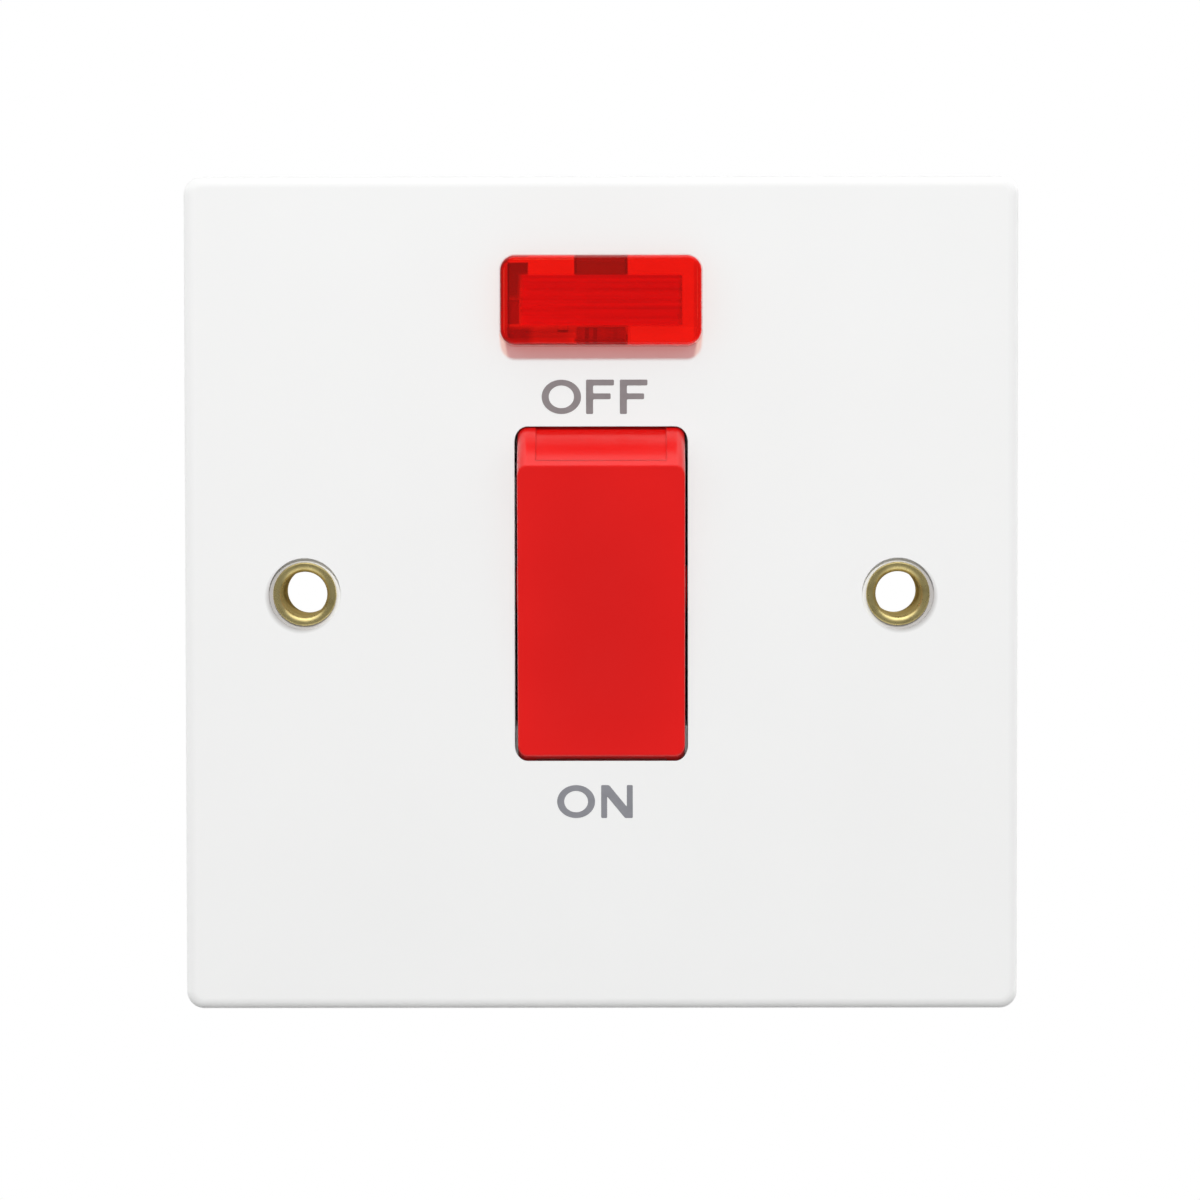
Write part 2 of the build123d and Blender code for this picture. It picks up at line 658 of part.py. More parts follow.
# Rear base
with BuildPart() as switch_base:
    zone_low = terminal_z - terminal_length / 2 - terminal_play - base_wall / 2
    zone_z = (zone_low + base_half_height) / 2
    with BuildSketch(facing(base_back_y)):
        RectangleRounded(2 * base_half_width, 2 * base_half_height, base_corner)
    extrude(amount=base_back_y - base_front_y)
    with BuildSketch(facing(well_back_y)):
        with Locations((0, zone_z), (0, -zone_z)):
            RectangleRounded(2 * base_half_width, base_half_height - zone_low, base_corner)
    extrude(amount=well_back_y - base_front_y)
    fillet(switch_base.faces().filter_by(Axis.Y).sort_by(Axis.Y)[-2:].edges(), radius=base_edge)
    with BuildSketch(facing(ear_back_y)):
        for x, z in ear_places:
            sign = 1 if x > 0 else -1
            with Locations((x, z)):
                Circle(ear_radius)
            with Locations((x - sign * ear_reach / 2, z)):
                Rectangle(ear_reach, 2 * ear_radius)
    extrude(amount=ear_thickness)
    # Contact chamber with its barrier, and channels for the terminal tails
    with BuildSketch(facing(floor_y)):
        Rectangle(2 * chamber_half_width, 2 * chamber_half_height)
    extrude(amount=floor_y - base_front_y, mode=Mode.SUBTRACT)
    with BuildSketch(facing(floor_y)):
        Rectangle(barrier_thickness, 2 * chamber_half_height)
    extrude(amount=floor_y - pivot_y - stem_end - barrier_gap)
    with BuildSketch(facing(floor_y)):
        for sx, sz in terminal_signs:
            with Locations((sx * terminal_x, sz * terminal_z)):
                Rectangle(terminal_width + 2 * terminal_play, terminal_length + 2 * terminal_play)
        with Locations((0, earth_z)):
            Rectangle(earth_width + 2 * terminal_play, earth_length + 2 * terminal_play)
    extrude(amount=floor_y - base_front_y, mode=Mode.SUBTRACT)
    channel_far = chamber_half_height
    channel_near = contact_offset - contact_diameter / 2 - 0.3 - terminal_play
    with BuildSketch(facing(floor_y)):
        for sx, sz in terminal_signs:
            channel_x = sx * (chamber_half_width + terminal_x) / 2
            channel_z = sz * (channel_far + channel_near) / 2
            with Locations((channel_x, channel_z)):
                Rectangle(terminal_x - chamber_half_width + 0.1, channel_far - channel_near)
    extrude(amount=tail_thickness + terminal_play, mode=Mode.SUBTRACT)
    # Screw wells and conductor entries
    with BuildSketch(facing(well_back_y)):
        for sx, sz in terminal_signs:
            with Locations((sx * terminal_x, sz * terminal_z)):
                Circle(clamp_head_diameter / 2 + well_gap)
        with Locations((0, earth_z)):
            Circle(earth_head_diameter / 2 + well_gap)
    extrude(amount=well_back_y - floor_y, mode=Mode.SUBTRACT)
    for sx, sz in terminal_signs:
        with BuildSketch(Plane.XY.offset(sz * terminal_z)):
            with Locations((sx * terminal_x, bore_y)):
                Circle(conductor_bore / 2 + entry_gap)
        extrude(amount=sz * terminal_length, mode=Mode.SUBTRACT)
    with BuildSketch(Plane.XY.offset(earth_z)):
        with Locations((0, earth_bore_y)):
            Circle(earth_bore / 2 + entry_gap)
    extrude(amount=-earth_length, mode=Mode.SUBTRACT)
    # Trunnion saddles, open to the front
    saddle_radius = trunnion_radius + trunnion_fit
    saddle_reach = rocker_width / 2 + trunnion_length + trunnion_end_gap
    with BuildSketch(Plane.YZ):
        with Locations((pivot_y, 0)):
            Circle(saddle_radius)
        with Locations((pivot_y - saddle_depth, 0)):
            Rectangle(2 * saddle_depth, 2 * saddle_radius)
    extrude(amount=saddle_reach, both=True, mode=Mode.SUBTRACT)
    with BuildSketch(facing(ear_back_y)):
        with Locations(*ear_places):
            Circle(base_screw_core / 2 + base_screw_clearance)
    extrude(amount=ear_thickness, mode=Mode.SUBTRACT)
switch_base.part.label = "switch_base"
export_step(switch_base.part, "parts/switch_base.step")

# Retaining frame between plate and base
with BuildPart() as retaining_frame:
    with BuildSketch(facing(base_front_y)):
        RectangleRounded(2 * base_half_width, 2 * base_half_height, base_corner)
        for x, z in ear_places:
            sign = 1 if x > 0 else -1
            with Locations((x, z)):
                Circle(ear_radius)
            with Locations((x - sign * ear_reach / 2, z)):
                Rectangle(ear_reach, 2 * ear_radius)
        RectangleRounded(2 * chamber_half_width, 2 * (rim + chamber_gap), 1, mode=Mode.SUBTRACT)
        with Locations(*ear_places):
            Circle(base_screw_core / 2 + base_screw_clearance, mode=Mode.SUBTRACT)
        with Locations((terminal_x, lead_hole_z), (-terminal_x, lead_hole_z)):
            Circle(lead_radius + lead_gap, mode=Mode.SUBTRACT)
    extrude(amount=frame_thickness)
    # Pads that keep the terminals in their pockets
    with BuildSketch(facing(floor_y - terminal_depth - terminal_play)):
        for sx, sz in terminal_signs:
            with Locations((sx * terminal_x, sz * pad_z)):
                Rectangle(terminal_width - 2, terminal_pad)
    extrude(amount=floor_y - terminal_depth - terminal_play - base_front_y)
    with BuildSketch(facing(floor_y - earth_depth - terminal_play)):
        with Locations((0, earth_z - earth_length / 4)):
            Rectangle(earth_width - 2, earth_length / 2 - 1)
    extrude(amount=floor_y - earth_depth - terminal_play - base_front_y + frame_thickness / 2)
    with BuildSketch(Plane.YZ):
        with Locations((pivot_y, 0)):
            Circle(trunnion_radius + trunnion_fit)
    extrude(amount=saddle_reach, both=True, mode=Mode.SUBTRACT)
retaining_frame.part.label = "retaining_frame"
export_step(retaining_frame.part, "parts/retaining_frame.step")

# Four screws that draw base and frame to the plate's bosses
with BuildPart() as base_screws:
    with BuildSketch(facing(ear_back_y + base_screw_head_height)):
        with Locations(*ear_places):
            Circle(base_screw_head_diameter / 2)
    extrude(amount=base_screw_head_height)
    fillet(base_screws.faces().filter_by(Axis.Y).sort_by(Axis.Y)[-4:].edges(), radius=base_screw_head_edge)
    with BuildSketch(facing(ear_back_y)):
        with Locations(*ear_places):
            Circle(base_screw_core / 2 - base_screw_fit)
    extrude(amount=ear_thickness + frame_thickness + base_screw_bite)
    with BuildSketch(facing(ear_back_y + base_screw_head_height)):
        with Locations(*ear_places):
            Rectangle(base_screw_cross_width, base_screw_cross_length)
            Rectangle(base_screw_cross_length, base_screw_cross_width)
    extrude(amount=slot_depth, mode=Mode.SUBTRACT)
base_screws.part.label = "base_screws"
export_step(base_screws.part, "parts/base_screws.step")

# Indicator lens: a drafted cap with a ribbed window and two snap legs
with BuildPart() as neon_lens:
    with BuildSketch(facing(front_y)):
        with Locations((0, lens_height)):
            RectangleRounded(lens_width, lens_depth, lens_corner)
    extrude(amount=lens_proud, taper=lens_draft)
    fillet(neon_lens.faces().sort_by(Axis.Y)[0].edges(), radius=lens_edge)
    with BuildSketch(facing(front_y)):
        with Locations((0, lens_height)):
            Rectangle(lens_pocket_width, lens_pocket_depth)
    extrude(amount=lens_proud - lens_window, mode=Mode.SUBTRACT)
    with BuildSketch(facing(front_y)):
        with Locations((0, lens_height)):
            Rectangle(lens_width - 2 * lens_seat_border, lens_depth - 2 * lens_seat_border)
    extrude(amount=lens_seat_relief, mode=Mode.SUBTRACT)
    rib_pitch = lens_pocket_depth / lens_ribs
    window_y = front_y - lens_proud + lens_window
    with BuildSketch(Plane.YZ):
        for i in range(lens_ribs):
            z = lens_height - lens_pocket_depth / 2 + i * rib_pitch
            with BuildLine():
                Polyline(
                    (window_y, z),
                    (window_y + lens_rib_height, z + rib_pitch / 2),
                    (window_y, z + rib_pitch),
                    close=True,
                )
            make_face()
    extrude(amount=lens_pocket_width / 2, both=True)
    leg_near = lens_pocket_depth / 2
    leg_far = leg_near + lens_leg_thickness
    leg_root_y = front_y - 2 * lens_seat_relief
    hook_front_y = inner_y + lens_hook_gap
    for up in (-1, 1):
        with BuildSketch(Plane.YZ):
            with BuildLine():
                Polyline(
                    (leg_root_y, lens_height + up * leg_near),
                    (hook_front_y + lens_hook_height, lens_height + up * leg_near),
                    (hook_front_y + lens_hook_height, lens_height + up * (leg_far - lens_hook / 2)),
                    (hook_front_y + lens_hook / 2, lens_height + up * (leg_far + lens_hook)),
                    (hook_front_y, lens_height + up * (leg_far + lens_hook)),
                    (hook_front_y, lens_height + up * leg_far),
                    (leg_root_y, lens_height + up * leg_far),
                    close=True,
                )
            make_face()
        extrude(amount=lens_leg_width / 2, both=True)
neon_lens.part.label = "neon_lens"
export_step(neon_lens.part, "parts/neon_lens.step")

# Lamp tray held on two pegs behind the plate
with BuildPart() as neon_tray:
    with BuildSketch(facing(tray_back_y)):
        with Locations((0, lens_height)):
            RectangleRounded(tray_length, 2 * tray_half_height, 1.2)
    extrude(amount=tray_back_y - inner_y)
    with BuildSketch(facing(inner_y + tray_ear)):
        for sx in (-1, 1):
            with Locations((sx * peg_x, lens_height)):
                Circle(2 * peg_radius)
            with Locations((sx * (peg_x - peg_radius), lens_height)):
                Rectangle(2 * peg_radius + 1, 4 * peg_radius)
    extrude(amount=tray_ear)
    with BuildSketch(facing(tray_floor_y)):
        with Locations((0, lens_height)):
            Rectangle(tray_length - 2 * tray_wall, 2 * (tray_half_height - tray_wall))
    extrude(amount=tray_floor_y - inner_y, mode=Mode.SUBTRACT)
    cradle_x = lamp_length / 3
    with BuildSketch(facing(tray_floor_y)):
        with Locations((cradle_x, lamp_z), (-cradle_x, lamp_z)):
            Rectangle(tray_wall, 2 * cradle_half)
    extrude(amount=lamp_radius * 0.8)
    with BuildSketch(Plane.YZ):
        with Locations((lamp_y, lamp_z)):
            Circle(lamp_radius + lamp_gap / 2)
    extrude(amount=lamp_length / 2, both=True, mode=Mode.SUBTRACT)
    with BuildSketch(facing(inner_y)):
        with Locations((peg_x, lens_height), (-peg_x, lens_height)):
            Circle(peg_radius + peg_fit)
    extrude(amount=-tray_ear, mode=Mode.SUBTRACT)
    notch_y = lead_y + lead_radius + lead_gap
    with BuildSketch(facing(notch_y)):
        tray_low = lens_height - tray_half_height
        with Locations((lead_exit, tray_low), (-lead_exit, tray_low)):
            Rectangle(2 * (lead_radius + lead_gap), 2.5 * tray_wall)
    extrude(amount=notch_y - inner_y, mode=Mode.SUBTRACT)
neon_tray.part.label = "neon_tray"
export_step(neon_tray.part, "parts/neon_tray.step")

# Neon lamp: a glass tube with a domed end and a seal, and its pair of electrodes
lamp_left = -lamp_length / 2
lamp_right = lamp_length / 2
lamp_inner = lamp_radius - lamp_glass
electrode_z = electrode_spacing / 2
lamp_plane = Plane(origin=(0, lamp_y, lamp_z), x_dir=(1, 0, 0), z_dir=(0, -1, 0))
with BuildPart() as neon_glass:
    with BuildSketch(lamp_plane):
        with BuildLine():
            dome = lamp_radius * cos(radians(45))
            inner_dome = lamp_inner * cos(radians(45))
            dome_x = lamp_left + lamp_radius
            ThreePointArc((lamp_left, 0), (dome_x - dome, dome), (dome_x, lamp_radius))
            Polyline(
                (dome_x, lamp_radius),
                (lamp_right, lamp_radius),
                (lamp_right, 0),
                (lamp_right - lamp_seal, 0),
                (lamp_right - lamp_seal, lamp_inner),
                (dome_x, lamp_inner),
            )
            ThreePointArc((dome_x, lamp_inner), (dome_x - inner_dome, inner_dome), (dome_x - lamp_inner, 0))
            Line((dome_x - lamp_inner, 0), (lamp_left, 0))
        make_face()
    revolve(axis=Axis((0, lamp_y, lamp_z), (1, 0, 0)))
    with BuildSketch(Plane.YZ.offset(lamp_right)):
        with Locations((lamp_y, lamp_z + electrode_z), (lamp_y, lamp_z - electrode_z)):
            Circle(electrode_radius + 0.02)
    extrude(amount=-lamp_seal, mode=Mode.SUBTRACT)
neon_glass.part.label = "neon_glass"
export_step(neon_glass.part, "parts/neon_glass.step")

electrode_end = lamp_right + electrode_out
with BuildPart() as neon_electrodes:
    with BuildSketch(Plane.YZ.offset(electrode_end)):
        with Locations((lamp_y, lamp_z + electrode_z), (lamp_y, lamp_z - electrode_z)):
            Circle(electrode_radius)
    extrude(amount=-(electrode_end - lamp_left - 2 * lamp_radius))
neon_electrodes.part.label = "neon_electrodes"
export_step(neon_electrodes.part, "parts/neon_electrodes.step")

# Ballast resistor and the wires
with BuildPart() as ballast_resistor:
    with BuildSketch(Plane.YZ):
        with Locations((resistor_y, resistor_z)):
            Circle(resistor_radius)
    extrude(amount=resistor_length / 2, both=True)
    fillet(ballast_resistor.edges().filter_by(GeomType.CIRCLE), radius=0.3)
ballast_resistor.part.label = "ballast_resistor"
export_step(ballast_resistor.part, "parts/ballast_resistor.step")

link_x = electrode_end + 4 * link_radius
link_route = [
    (electrode_end, lamp_y, lamp_z - electrode_z),
    (link_x, lamp_y, lamp_z - electrode_z),
    (link_x, resistor_y, resistor_z),
    (resistor_length / 2, resistor_y, resistor_z),
]
lead_low_z = lens_height - tray_half_height - 1.5
block_front_y = floor_y - terminal_depth
live_route = [
    (-resistor_length / 2, resistor_y, resistor_z),
    (-lead_exit, lead_y, resistor_z),
    (-lead_exit, lead_y, lead_low_z),
    (-terminal_x, lead_y, lead_hole_z + 3),
    (-terminal_x, lead_y, lead_hole_z),
    (-terminal_x, block_front_y, lead_hole_z),
]
neutral_route = [
    (electrode_end, lamp_y, lamp_z + electrode_z),
    (lead_exit, lamp_y, lamp_z + electrode_z),
    (lead_exit, lead_y, lamp_z - lamp_radius),
    (lead_exit, lead_y, lead_low_z),
    (terminal_x, lead_y, lead_hole_z + 3),
    (terminal_x, lead_y, lead_hole_z),
    (terminal_x, block_front_y, lead_hole_z),
]
wires = [
    ("resistor_link", link_route, link_radius, 2 * link_radius),
    ("neon_lead_live", live_route, lead_radius, lead_bend),
    ("neon_lead_neutral", neutral_route, lead_radius, lead_bend),
]
for name, points, radius, bend in wires:
    with BuildPart() as wire:
        with BuildLine() as route:
            FilletPolyline(*points, radius=bend)
        with BuildSketch(Plane(origin=route.line @ 0, z_dir=route.line % 0)):
            Circle(radius)
        sweep()
    wire.part.label = name
    export_step(wire.part, "parts/" + name + ".step")
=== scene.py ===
"""Dressed scene of a double pole switch: materials, lettering, light and camera."""

import math

import bmesh
import bpy
from mathutils import Matrix, Vector


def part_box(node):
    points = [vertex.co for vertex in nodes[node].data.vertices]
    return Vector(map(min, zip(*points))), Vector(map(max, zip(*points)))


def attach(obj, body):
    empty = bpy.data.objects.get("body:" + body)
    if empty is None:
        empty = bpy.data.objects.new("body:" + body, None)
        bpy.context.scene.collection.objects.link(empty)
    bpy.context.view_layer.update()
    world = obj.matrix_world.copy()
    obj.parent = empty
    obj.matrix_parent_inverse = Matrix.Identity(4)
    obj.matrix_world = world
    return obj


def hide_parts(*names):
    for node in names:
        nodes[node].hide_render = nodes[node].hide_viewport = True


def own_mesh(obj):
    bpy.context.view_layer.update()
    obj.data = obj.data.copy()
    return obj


MM = 0.001
WHITE = (1.0, 1.0, 1.0, 1.0)

# Camera: where it aims and how far off it stands (mm), its turn in degrees, the sensor's width (mm),
# the focal length and the image's size in pixels, and the nearest distance seen (m)
AIM = (-0.133, -9.0, -0.618)
CAMERA_DISTANCE = 550.0
YAW, PITCH, ROLL = 0.208, 2.468, -0.070
SENSOR = 36.0
FOCAL_PIXELS = 5412.0
IMAGE_SIZE = 1200
CLIP_START = 0.01

# Lettering on the plate's face (mm). A line is its middle height, its letters' height and its
# letters; a letter is its shape, left edge and width
FACE_Y = -9.0
INK_DEPTH = 0.02
INK_CORNER, CORNER_STEPS = 0.12, 3
RING_STEPS = 72
OFF_LINE = (20.02, 3.48, (("ring", -6.03, 4.00), ("eff", -1.53, 2.84), ("eff", 1.90, 2.80)))
ON_LINE = (-21.15, 3.36, (("ring", -4.52, 3.86), ("en", -0.04, 3.22)))
STROKE_ACROSS, STROKE_ALONG = 0.72, 0.59
EFF_ARM_RISE, EFF_ARM_SHARE = 0.05, 0.88
EN_STEM, EN_SLANT, EN_NOTCH = 0.61, 0.80, 1.15
OFF_INK = ((0.250, 0.220, 0.224), (0.284, 0.250, 0.256))
ON_INK = ((0.245, 0.247, 0.270), (0.279, 0.281, 0.306))

# Grain of the materials: sizes and heights in mm, and shares of another grain's size
COLOUR_DRIFT = 1.7
TARNISH_SIZE = 2.5
LINE_HEIGHT = 0.0025
GLOSS_LINES = 4
CLEAR_PATCH, CLEAR_WAVE, CLEAR_WAVE_HEIGHT = 3.0, 1.4, 0.0006
EDGE_SAMPLES = 4

# Below, a place on the front is its middle across, half width, middle height and half height (mm).
# It fades between a share of the squared distance to its border and the border
SHARP = 0.86

# Rocker: its face, the red of a painted shade that darkens the face towards its middle, and the
# duller colour of the light that bounces off it
ROCKER_FACE = (0.0, 8.8, -4.0, 16.0)
PAINTED_FACE_SHADE = (0.735, 0.0030, 0.0022)
BOUNCE_RED = (0.55, 0.36, 0.35)

# Lens: its reds, one of them a painted shade, how clear it is, and the haze in its ribbed window,
# its legs and a bright corner
LENS_RED = (0.985, 0.012, 0.004)
WINDOW_RED = (0.875, 0.0018, 0.0014)
PAINTED_SHADE_RED = (0.52, 0.003, 0.002)
LENS_CLEAR = 0.89
WINDOW, WINDOW_HAZE = (0.0, 8.4, 29.8, 2.68), (0.24, 0.52)
LEGS, LEG_HAZE = (0.0, 2.55, 29.8, 4.6), 0.13
BRIGHT_CORNER, CORNER_HAZE = (6.3, 3.5, 26.25, 0.9), 0.3
STREAK_SIZE, STREAK_STRETCH = 0.52, (0.012, 0.3, 1.0)

# Painted shade in the lens, where depth and shadow behind it and its refracting rims make it look
# dark: the place, its strength and where it starts to fade
LOWER_LEG = ((0.0, 2.55, 26.15, 1.0), 0.75, SHARP)
LEFT_SIDE = ((-8.85, 0.62, 28.6, 1.3), 0.9, 0.8)
LEFT_END = ((-9.75, 0.55, 29.8, 4.3), 0.6, 0.6)
RIGHT_END = ((9.8, 0.45, 29.8, 4.3), 0.35, 0.6)
LOWER_LEFT = ((-8.3, 1.7, 26.3, 0.95), 1.0, 0.25)
LOWER_STRIP = ((-5.0, 2.6, 26.25, 0.9), 0.5, 0.25)
PAINTED_SHADE_PLACES = (LOWER_LEG, LEFT_SIDE, LEFT_END, RIGHT_END, LOWER_LEFT, LOWER_STRIP)

# Colour of the light that passes the lens at its foot, in its window and elsewhere, and the heights
# between which the foot ends (mm)
PASSED_COLOURS = ((0.53, 0.09, 0.08), (0.93, 0.64, 0.56), (0.99, 0.71, 0.64))
FOOT_START, FOOT_END = 25.4, 25.7

# Eyelets: the middles (x, z) of the painted grey shadows around them, set outwards and down, and
# where a painted shadow fades (mm), the depths between which the bore turns dark and dull as
# painted shade (mm), and the brass of the bore and the flare
EYELET_SHADES = ((-30.45, -0.25), (30.45, -0.25))
SHADE_NEAR, SHADE_FAR = 3.35, 3.80
# Grey of the painted shade around the eyelets
PAINTED_SHADE_GREY = (0.56, 0.545, 0.535)
BORE_START, BORE_END = -8.6, -8.2
TARNISH_AND_BORE_SHADE, FLARE_BRASS = (0.50, 0.39, 0.15), (0.97, 0.81, 0.36)
FLARE_METALLIC = 0.88

# Resistor: its body's colour, and its rings from start to end along the body
RESISTOR_BODY = (0.70, 0.56, 0.38)
RESISTOR_RINGS = (
    (0.18, 0.26, (0.28, 0.10, 0.03)),
    (0.34, 0.42, (0.30, 0.04, 0.03)),
    (0.50, 0.58, (0.80, 0.52, 0.05)),
    (0.74, 0.82, (0.55, 0.40, 0.12)),
)

# Lamps: where they stand and how wide they are (m), and their power (W)
KEY_PLACE, KEY_SIZE, KEY_POWER = (0.0, -0.953, 0.575), 0.11, 8.8
BACK_PLACE, BACK_SIZE, BACK_POWER = (0.9, 1.1, 0.85), 0.6, 5.0

# Surround: each run is a value at its start and at its end, and where it starts and ends
SIDES_BEHIND = (0.0, 1.0, 0.0, 0.25)
SOFT_LEVEL = (0.48, 3.2, 0.0, 1.0)
LESS_BELOW = (0.35, 1.12, -0.8, 0.2)
LESS_ABOVE = (1.0, 0.3, 0.25, 1.0)
SEEN_BACKDROP = (0.12, 1.0, -0.05, 0.4)
SEEN_ABOVE = (0.0, 1.8, 0.5, 0.95)
SEEN_BELOW = (0.8, 0.0, -0.95, -0.4)

# Floor: its radius and height (m), the shares of the radius between which it fades, its colours and
# its grain (mm)
FLOOR_RADIUS, FLOOR_HEIGHT, FLOOR_STEPS = 0.17, -0.30, 96
FADE_START, FADE_END = 0.4, 0.95
FLOOR_DARK, FLOOR_PALE = (0.74, 0.74, 0.73), (0.80, 0.80, 0.79)
FLOOR_GRAIN = 60.0

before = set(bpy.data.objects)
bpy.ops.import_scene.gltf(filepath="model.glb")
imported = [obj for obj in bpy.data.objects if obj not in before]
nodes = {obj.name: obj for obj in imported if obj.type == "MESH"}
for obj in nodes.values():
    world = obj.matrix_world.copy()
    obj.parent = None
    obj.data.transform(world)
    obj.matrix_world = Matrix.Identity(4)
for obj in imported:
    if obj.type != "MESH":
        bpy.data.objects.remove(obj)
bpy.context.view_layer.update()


# Scene helpers


def add(name, data):
    """A new object in the scene."""
    piece = bpy.data.objects.new(name, data)
    bpy.context.scene.collection.objects.link(piece)
    return piece


def mesh_data(name, mesh):
    """The mesh data of a bmesh, which is freed."""
    data = bpy.data.meshes.new(name)
    mesh.to_mesh(data)
    mesh.free()
    return data


# Node helpers


def spread(tree, source, low, high, start=0.0, end=1.0):
    """A value that runs from low to high as the source runs from start to end."""
    span = tree.nodes.new("ShaderNodeMapRange")
    limits = {"From Min": start, "From Max": end, "To Min": low, "To Max": high}
    for socket, value in limits.items():
        span.inputs[socket].default_value = value
    tree.links.new(source, span.inputs["Value"])
    return span.outputs["Result"]


def combine(tree, kind, first, second):
    """A difference, product or maximum of two values."""
    node = tree.nodes.new("ShaderNodeMath")
    node.operation = kind
    tree.links.new(first, node.inputs[0])
    tree.links.new(second, node.inputs[1])
    return node.outputs["Value"]


def blend(tree, factor, first, second):
    """One shader fading into another."""
    node = tree.nodes.new("ShaderNodeMixShader")
    tree.links.new(factor, node.inputs["Fac"])
    tree.links.new(first, node.inputs[1])
    tree.links.new(second, node.inputs[2])
    return node.outputs["Shader"]


def ramp(tree, field, stops, interpolation="LINEAR"):
    """A colour that runs through stops as the field rises, each stop a position and a colour."""
    node = tree.nodes.new("ShaderNodeValToRGB")
    node.color_ramp.interpolation = interpolation
    elements = node.color_ramp.elements
    elements.remove(elements[1])
    (first, colour), *others = stops
    elements[0].position, elements[0].color = first, (*colour, 1.0)
    for position, colour in others:
        elements.new(position).color = (*colour, 1.0)
    tree.links.new(field, node.inputs["Fac"])
    return node.outputs["Color"]


def axes(tree, space="Object"):
    """X, Y and Z as values, in the piece's own space or another."""
    place = tree.nodes.new("ShaderNodeTexCoord")
    parts = tree.nodes.new("ShaderNodeSeparateXYZ")
    tree.links.new(place.outputs[space], parts.inputs["Vector"])
    return parts.outputs


def within(tree, source, middle, half, fade):
    """One around the middle, and nought where the source is half or more away from it (mm)."""
    offset = spread(tree, source, -1.0, 1.0, (middle - half) * MM, (middle + half) * MM)
    return spread(tree, combine(tree, "MULTIPLY", offset, offset), 1.0, 0.0, fade, 1.0)


def patch_of(tree, place, strength=1.0, fade=SHARP):
    """The strength inside a place on the front, and nought outside it."""
    across, _, height = axes(tree)
    x, half_width, z, half_height = place
    sides = within(tree, across, x, half_width, fade)
    ends = within(tree, height, z, half_height, fade)
    return spread(tree, combine(tree, "MULTIPLY", sides, ends), 0.0, strength)


# Material helpers


def shader_of(mat):
    """The material's Principled shader."""
    return mat.node_tree.nodes["Principled BSDF"]


def show(mat, surface):
    """Makes a shader the material's surface."""
    output = mat.node_tree.nodes["Material Output"]
    mat.node_tree.links.new(surface, output.inputs["Surface"])


def material(name, **values):
    """A new material, with plain values set on its shader's own sockets."""
    mat = bpy.data.materials.new(name)
    mat.use_nodes = True
    for socket, value in values.items():
        shader_of(mat).inputs[socket.replace("_", " ")].default_value = value
    return mat


def grain(mat, size, detail=2.0, stretch=(1.0, 1.0, 1.0)):
    """Noise in the piece's own space, with grains about size mm across."""
    tree = mat.node_tree
    place = tree.nodes.new("ShaderNodeTexCoord")
    mapping = tree.nodes.new("ShaderNodeMapping")
    mapping.inputs["Scale"].default_value = stretch
    field = tree.nodes.new("ShaderNodeTexNoise")
    field.inputs["Scale"].default_value = 1 / (size * MM)
    field.inputs["Detail"].default_value = detail
    tree.links.new(place.outputs["Object"], mapping.inputs["Vector"])
    tree.links.new(mapping.outputs["Vector"], field.inputs["Vector"])
    return field.outputs["Fac"]


def tint(mat, field, low, high, start=0.3, end=0.7):
    """Colours the surface from low to high as the field rises."""
    colour = ramp(mat.node_tree, field, ((start, low), (end, high)))
    mat.node_tree.links.new(colour, shader_of(mat).inputs["Base Color"])


def overlay(mat, factor, colour):
    """Lays a colour over the surface's own where the factor is one."""
    tree = mat.node_tree
    base = shader_of(mat).inputs["Base Color"]
    mix = tree.nodes.new("ShaderNodeMixRGB")
    mix.inputs["Color1"].default_value = base.default_value
    mix.inputs["Color2"].default_value = (*colour, 1.0)
    for link in base.links:
        tree.links.new(link.from_socket, mix.inputs["Color1"])
    tree.links.new(factor, mix.inputs["Fac"])
    tree.links.new(mix.outputs["Color"], base)


def gloss(mat, field, low, high, start=0.2, end=0.8):
    """Lets the roughness wander between two values."""
    tree = mat.node_tree
    rough = spread(tree, field, low, high, start, end)
    tree.links.new(rough, shader_of(mat).inputs["Roughness"])


def relief(mat, field, height, edge=0.0):
    """Raises the surface by the field, height in mm, over edges rounded by edge mm."""
    tree = mat.node_tree
    bump = tree.nodes.new("ShaderNodeBump")
    bump.inputs["Distance"].default_value = height * MM
    tree.links.new(field, bump.inputs["Height"])
    if edge:
        rounding = tree.nodes.new("ShaderNodeBevel")
        rounding.samples = EDGE_SAMPLES
        rounding.inputs["Radius"].default_value = edge * MM
        tree.links.new(rounding.outputs["Normal"], bump.inputs["Normal"])
    tree.links.new(bump.outputs["Normal"], shader_of(mat).inputs["Normal"])


def moulded(name, low, high, rough, patch=9.0, pore=0.35, pore_height=0.002, edge=0.12, **values):
    """Moulded plastic: faint colour drift, handled patches in the gloss and a fine tool grain."""
    mat = material(name, **values)
    tint(mat, grain(mat, patch * COLOUR_DRIFT, detail=1.0), low, high, start=0.2, end=0.8)
    gloss(mat, grain(mat, patch), *rough)
    relief(mat, grain(mat, pore), pore_height, edge)
    return mat


def worked_metal(name, low, high, rough, lines, stretch, edge):
    """Metal with tarnish patches, and drawn or cut lines along one direction."""
    mat = material(name, Metallic=1.0)
    tint(mat, grain(mat, TARNISH_SIZE, detail=4.0), low, high)
    gloss(mat, grain(mat, lines * GLOSS_LINES, detail=3.0, stretch=stretch), *rough)
    relief(mat, grain(mat, lines, detail=3.0, stretch=stretch), LINE_HEIGHT, edge)
    return mat


